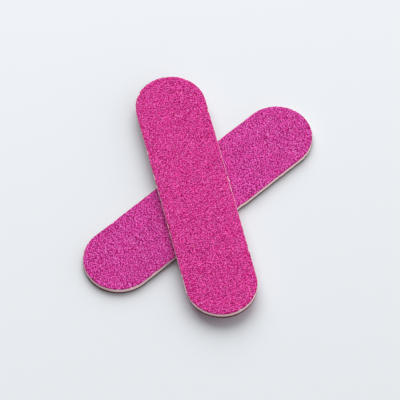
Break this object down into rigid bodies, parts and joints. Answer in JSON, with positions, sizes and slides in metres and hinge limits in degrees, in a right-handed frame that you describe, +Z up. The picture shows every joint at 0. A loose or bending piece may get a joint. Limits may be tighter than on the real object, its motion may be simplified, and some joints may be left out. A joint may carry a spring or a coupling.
{
  "type": "emery board",
  "caption": "Small round-ended emery boards lying crossed: fuchsia abrasive on a pale wood core, fine on top and coarse below; one board lifts off the other.",
  "frame": {"origin": "middle of the lower board's underside, where it rests on the table", "axes": "+X along the lower board's length, +Y across the lower board, +Z up"},
  "size_m": [0.05, 0.0454, 0.0028],
  "materials": {
    "wood_core": "matte",
    "glue_film": "satin",
    "backing_paper": "matte",
    "kraft_paper": "matte",
    "bond_resin": "satin",
    "abrasive_grit": "matte"
  },
  "bodies": {
    "lower_board": {"lower_wood_core": "wood_core", "lower_bottom_glue_film": "glue_film", "lower_bottom_backing_paper": "kraft_paper", "lower_bottom_bond_coat": "bond_resin", "lower_bottom_grit": "abrasive_grit", "lower_top_glue_film": "glue_film", "lower_top_backing_paper": "backing_paper", "lower_top_bond_coat": "bond_resin", "lower_top_grit": "abrasive_grit"},
    "upper_board": {"upper_wood_core": "wood_core", "upper_bottom_glue_film": "glue_film", "upper_bottom_backing_paper": "kraft_paper", "upper_bottom_bond_coat": "bond_resin", "upper_bottom_grit": "abrasive_grit", "upper_top_glue_film": "glue_film", "upper_top_backing_paper": "backing_paper", "upper_top_bond_coat": "bond_resin", "upper_top_grit": "abrasive_grit"}
  },
  "joints": [
    {"name": "upper_board_lift", "type": "slide", "parent": "lower_board", "child": "upper_board", "axis": [0, 0, 1], "range_m": [0, 0.02]}
  ]
}
